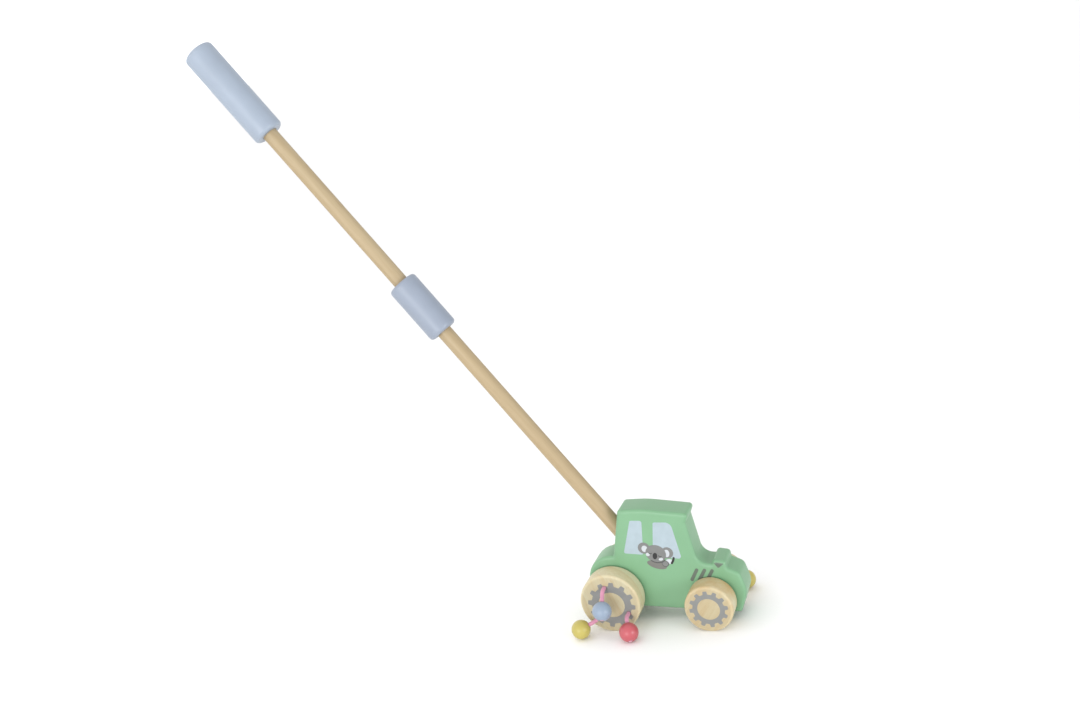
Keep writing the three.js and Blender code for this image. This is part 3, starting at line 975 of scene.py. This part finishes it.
def braided_cord(name, points):
    """A round braid: a tube whose surface rises and falls with eight interlacing strands."""
    line = smooth_path(points)
    around, strands, pitch, relief = 40, 4, 7.0 * MM, 0.11 * MM
    verts, faces, travelled = [], [], 0.0
    tangent = (line[1] - line[0]).normalized()
    side = tangent.orthogonal().normalized()
    for i, p in enumerate(line):
        ahead = (line[min(i + 1, len(line) - 1)] - line[max(i - 1, 0)]).normalized()
        side = (side - ahead * side.dot(ahead)).normalized()
        up = ahead.cross(side)
        if i:
            travelled += (p - line[i - 1]).length
        twist = 2 * math.pi * travelled / pitch
        for k in range(around):
            angle = 2 * math.pi * k / around
            right_hand = math.cos(strands * (angle - twist))
            left_hand = math.cos(strands * (angle + twist))
            over = max(right_hand, left_hand)
            radius = CORD_RADIUS - relief * (1 - over) / 2
            verts.append(p + (side * math.cos(angle) + up * math.sin(angle)) * radius)
    for i in range(len(line) - 1):
        for k in range(around):
            n = (k + 1) % around
            low, high = i * around, (i + 1) * around
            faces.append((low + k, low + n, high + n, high + k))
    last = (len(line) - 1) * around
    faces.append(tuple(reversed(range(around))))
    faces.append(tuple(range(last, last + around)))
    cord = outward(new_object(name, verts, faces, 60))
    cord.data.materials.append(COTTON)
    return settle(cord, Matrix.Identity(4)), line


def bead(name, centre, direction, material):
    """A turned ball with a drilled, softened bore along its local Y."""
    bore, lip = CORD_HOLE_RADIUS, 0.45 * MM
    start = math.degrees(math.acos((bore + lip) / BEAD_RADIUS))
    ball = round_corner(0, 0, BEAD_RADIUS, -start, start, 40)
    mouth_y = ball[-1][1] - lip
    profile = ball + round_corner(bore + lip, mouth_y, lip, 60, 180, 5)
    profile += round_corner(bore + lip, -mouth_y, lip, 180, 300, 5)
    obj = lathe(name, profile + [profile[0]], 72, 40)
    obj.data.materials.append(material)
    turn = Vector((0, 1, 0)).rotation_difference(direction).to_matrix().to_4x4()
    return settle(obj, Matrix.Translation(centre) @ turn)


def clapper(bead_set, color):
    """One bead on its cord. The cord is held in the wheel and moves over to the bead's body outside it."""
    word = bead_set["word"]
    body = f"clapper_{color}_{word}"
    hole = hole_place(bead_set, color)
    points = cord_path(bead_set, color)
    before, centre, after = points[-4:-1]
    cord, line = braided_cord(f"braid_{color}_{word}", points)
    ball = bead(f"ball_{color}_{word}", centre, (after - before).normalized(), BEAD_PAINT[color])
    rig.ride(ball, body)
    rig.replaces(ball, f"bead_{color}_{word}")
    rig.slot(ball, f"bead_{color}")
    out = Vector((0, bead_set["side"], 0))
    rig.blend(cord, bead_set["body"], body, start=hole - out * 2 * MM, end=hole + out * 3 * MM)
    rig.replaces(cord, f"cord_{color}_{word}")
    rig.slot(cord, "cord")
    length = sum((b - a).length for a, b in zip(line, line[1:]))
    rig.cord(cord, exit=points[0], length=length, diameter=2 * CORD_RADIUS, far_end="object",
            stiffness="limp", lay="hanging", path=line, with_pieces=[ball])


# ---- assembly ----------------------------------------------------------------------------------------------
def holes_of(bead_set):
    return [hole_place(bead_set, color) for color in bead_set["beads"]]


def wheel_sets():
    ink = printed_ink("ink_gear", INK_GREY)
    rear_holes, front_holes = holes_of(BEAD_SETS[0]), holes_of(BEAD_SETS[1])
    layout = [
        ("rear_wheel_right", "rear_wheels", REAR_AXLE, REAR_RADIUS, RIGHT, rear_holes, REAR_GEAR),
        ("rear_wheel_left", "rear_wheels", REAR_AXLE, REAR_RADIUS, LEFT, [], REAR_GEAR),
        ("front_wheel_right", "front_wheels", FRONT_AXLE, FRONT_RADIUS, RIGHT, [], FRONT_GEAR),
        ("front_wheel_left", "front_wheels", FRONT_AXLE, FRONT_RADIUS, LEFT, front_holes, FRONT_GEAR),
    ]
    for i, (node, body, hub, radius, side, holes, gear) in enumerate(layout):
        grain = wheel_wood(f"{node}_grain", radius, (0.31 * i, 0.17 * i, 0.23 * i), math.radians(12 + 65 * i))
        blank = wheel(node, hub, radius, side, holes, grain)
        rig.ride(blank, body)
        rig.replaces(blank, node)
        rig.slot(blank, "bare_wood")
        ring = gear_print(f"print_gear_{node}", hub, side, gear, holes, ink)
        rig.ride(ring, body)
    axles = (("rear_axle", "rear_wheels", REAR_AXLE), ("front_axle", "front_wheels", FRONT_AXLE))
    for node, body, centre in axles:
        dowel = axle(node, centre)
        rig.ride(dowel, body)
        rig.replaces(dowel, node)
        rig.slot(dowel, "bare_wood")


def place_camera():
    """A view from the right, ahead and above, about a metre away, with the horizon tipped."""
    camera = bpy.data.objects.new("camera", bpy.data.cameras.new("camera"))
    bpy.context.collection.objects.link(camera)
    camera.data.sensor_width = 36
    camera.data.lens = 41.04
    camera.location = REAR_AXLE + Vector((0.2985, -0.8405, 0.4333))
    heading, pitch, roll = math.radians(21.5), math.radians(-15.08), math.radians(-10.4)
    aim = Euler((math.pi / 2 + pitch, 0, heading), "XYZ").to_matrix() @ Matrix.Rotation(roll, 3, "Z")
    camera.rotation_euler = aim.to_euler()
    bpy.context.scene.camera = camera


SURROUND_LIGHT = 1.04
SURROUND_FADE = 0.5


def area_light(name, location, target, size, power, color=(1, 1, 1)):
    light = bpy.data.objects.new(name, bpy.data.lights.new(name, "AREA"))
    light.data.shape = "DISK"
    light.data.size = size
    light.data.energy = power
    light.data.color = color
    light.location = location
    light.rotation_euler = (Vector(target) - Vector(location)).to_track_quat("-Z", "Y").to_euler()
    bpy.context.collection.objects.link(light)


def white_surround():
    """A white world that is brighter behind the toy than in front of it."""
    world = bpy.data.worlds.new("studio")
    world.use_nodes = True
    nodes, links = world.node_tree.nodes, world.node_tree.links
    direction = nodes.new("ShaderNodeTexCoord").outputs["Generated"]
    axes = nodes.new("ShaderNodeSeparateXYZ")
    fade = nodes.new("ShaderNodeMapRange")
    fade.inputs["From Min"].default_value = -1
    fade.inputs["From Max"].default_value = 1
    fade.inputs["To Min"].default_value = SURROUND_LIGHT + SURROUND_FADE
    fade.inputs["To Max"].default_value = SURROUND_LIGHT - SURROUND_FADE
    links.new(direction, axes.inputs["Vector"])
    links.new(axes.outputs["X"], fade.inputs["Value"])
    background = nodes["Background"]
    background.inputs["Color"].default_value = (1.0, 1.0, 1.0, 1)
    links.new(fade.outputs["Result"], background.inputs["Strength"])
    bpy.context.scene.world = world


def studio():
    """A wide white floor, a soft main light on the toy's right side and a smaller one from the front."""
    extent = 60  # metres each way
    corners = [(-extent, -extent, 0), (extent, -extent, 0), (extent, extent, 0), (-extent, extent, 0)]
    floor = new_object("floor", corners, [(0, 1, 2, 3)])
    paper = Shader("floor_paper", 0.9, specular=0.1)
    fibre = paper.noise(paper.place, 400, 3, 0.6)
    paper.color(paper.ramp(fibre, [(0.3, (0.965, 0.965, 0.965, 1)), (0.7, (0.98, 0.98, 0.98, 1))]))
    floor.data.materials.append(paper.material)
    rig.stage(settle(floor, Matrix.Identity(4)))
    white_surround()
    area_light("key", (-0.3, -2.4, 0.25), (0.05, 0, 0.05), 1.4, 30)
    area_light("front", (1.8, -0.9, 0.35), (0.15, 0, 0.05), 0.8, 15, (0.95, 0.98, 1.0))
    bpy.context.scene.view_settings.view_transform = "Standard"


def build():
    place_camera()
    studio()
    for bead_set in BEAD_SETS:
        for color in bead_set["beads"]:
            clapper(bead_set, color)
    block = body_block()
    block_prints(block)
    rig.ride(settle(block, AXLE_FRAME), "root")
    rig.replaces(block, "body_block")
    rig.slot(block, "green_paint")
    wheel_sets()
    rod_assembly()


build()
with open("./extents.json", "w") as size_file:
    json.dump({"cad": cad_box, "visual": [list(corner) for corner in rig.bounds()]}, size_file)
